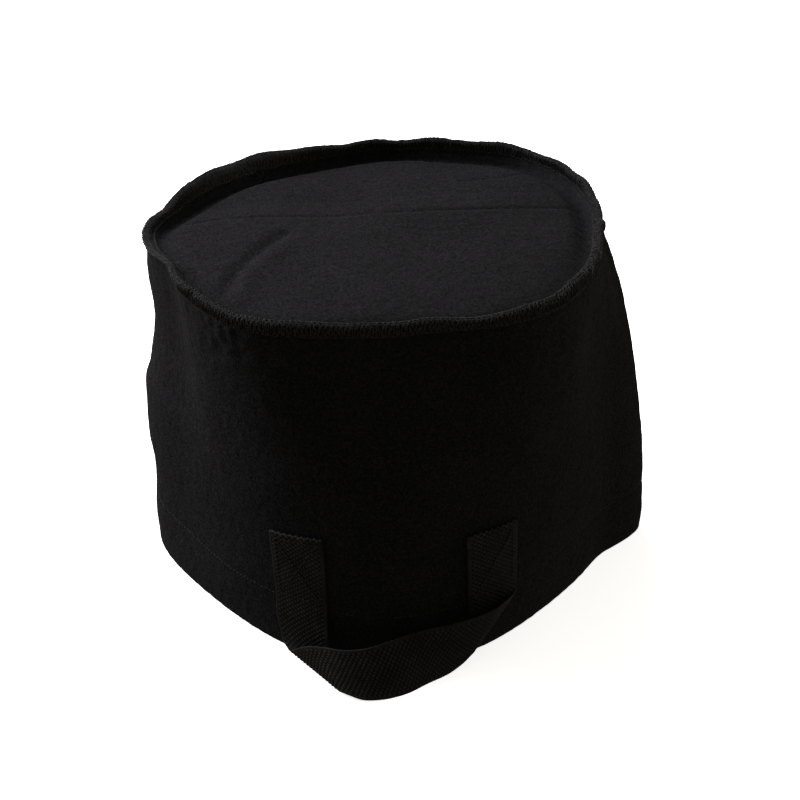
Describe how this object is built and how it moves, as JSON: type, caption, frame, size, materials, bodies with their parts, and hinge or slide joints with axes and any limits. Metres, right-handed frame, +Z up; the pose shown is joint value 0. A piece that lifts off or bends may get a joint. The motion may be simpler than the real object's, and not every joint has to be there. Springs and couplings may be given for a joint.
{
  "type": "fabric grow bag",
  "caption": "Soft round felt plant pot, stored upside down on its open mouth, with an overlocked base seam and sewn webbing carry handles.",
  "frame": {"origin": "on the floor under the centre of the bag's box, in the plane of the mouth's rim", "axes": "+Z up, from the mouth's rim towards the base panel, which is on top because the bag is stored upside down; -Y towards the front handle; +X to the right of someone who faces the front handle"},
  "size_m": [0.354, 0.3918, 0.2486],
  "materials": {
    "felt": "black needle-punched polypropylene felt, matt, with fine surface fuzz",
    "webbing": "black polypropylene webbing, plain weave with cross ribs, slight sheen",
    "seam_thread": "black textured polyester overlock thread",
    "box_thread": "black bonded polyester sewing thread"
  },
  "bodies": {
    "bag": {"side_wall": "felt", "base_panel": "felt", "base_seam_looper_thread": "seam_thread", "base_seam_needle_thread": "seam_thread", "side_seam_thread": "seam_thread", "hem_stitch_thread": "seam_thread", "front_handle_left_end": "webbing", "front_handle_right_end": "webbing", "front_left_box_stitch": "box_thread", "front_right_box_stitch": "box_thread", "rear_handle_left_end": "webbing", "rear_handle_right_end": "webbing", "rear_left_box_stitch": "box_thread", "rear_right_box_stitch": "box_thread"},
    "front_handle": {"front_handle_loop": "webbing"},
    "rear_handle": {"rear_handle_loop": "webbing"}
  },
  "joints": [
    {"name": "front_handle_swing", "type": "hinge", "parent": "bag", "child": "front_handle", "pos_m": [0, -0.16, 0.042], "axis": [-1, 0, 0], "range_deg": [0, 85]},
    {"name": "rear_handle_swing", "type": "hinge", "parent": "bag", "child": "rear_handle", "pos_m": [0, 0.16, 0.042], "axis": [1, 0, 0], "range_deg": [0, 85]}
  ]
}
